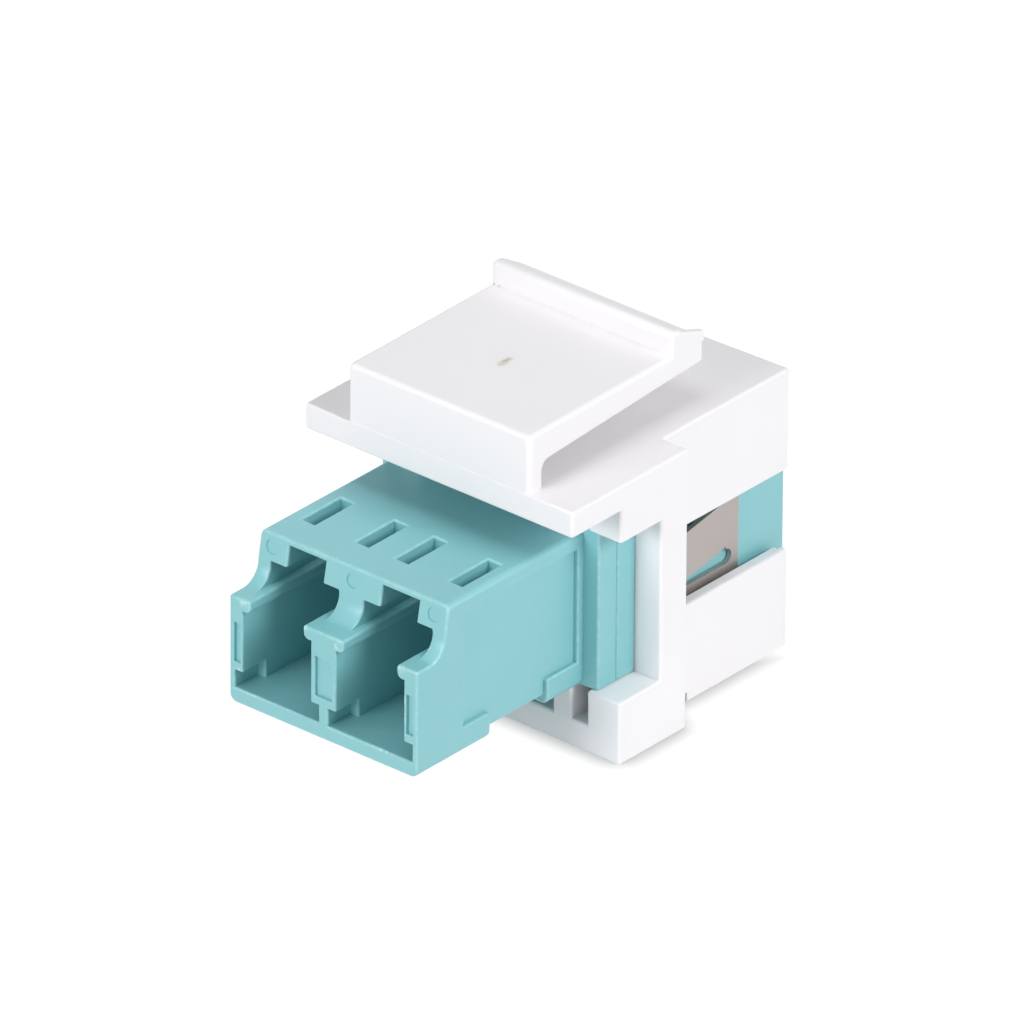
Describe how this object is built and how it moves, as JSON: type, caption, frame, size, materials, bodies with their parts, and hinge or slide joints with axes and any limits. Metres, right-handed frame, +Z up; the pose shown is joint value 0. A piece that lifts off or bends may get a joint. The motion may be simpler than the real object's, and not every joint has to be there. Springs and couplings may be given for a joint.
{
  "type": "keystone fibre optic adapter",
  "caption": "Duplex fibre optic adapter with plug ports at both ends, clipped into a white keystone housing with a sprung panel latch.",
  "frame": {"origin": "middle of the overall footprint, on the surface that the housing stands on, under the adapter's weld seam", "axes": "+X across the part, +Y towards the front of the panel, +Z up, on the side of the latch"},
  "size_m": [0.0178, 0.0288, 0.0208],
  "materials": {
    "white_plastic": "satin moulded white",
    "aqua_plastic": "fine satin moulded aqua",
    "clip_steel": "rolled stainless sheet",
    "sleeve_ceramic": "polished zirconia"
  },
  "bodies": {
    "housing": {"keystone_frame": "white_plastic", "adapter_rear_half": "aqua_plastic", "adapter_front_half": "aqua_plastic", "retaining_clip": "clip_steel", "alignment_sleeve_left": "sleeve_ceramic", "alignment_sleeve_right": "sleeve_ceramic"},
    "latch": {"keystone_latch": "white_plastic"}
  },
  "joints": [
    {"name": "latch_flex", "type": "hinge", "parent": "housing", "child": "latch", "pos_m": [0, -0.00498, 0.01723], "axis": [-1, 0, 0], "range_deg": [0, 8], "stiffness_Nm_per_rad": 0.4}
  ]
}
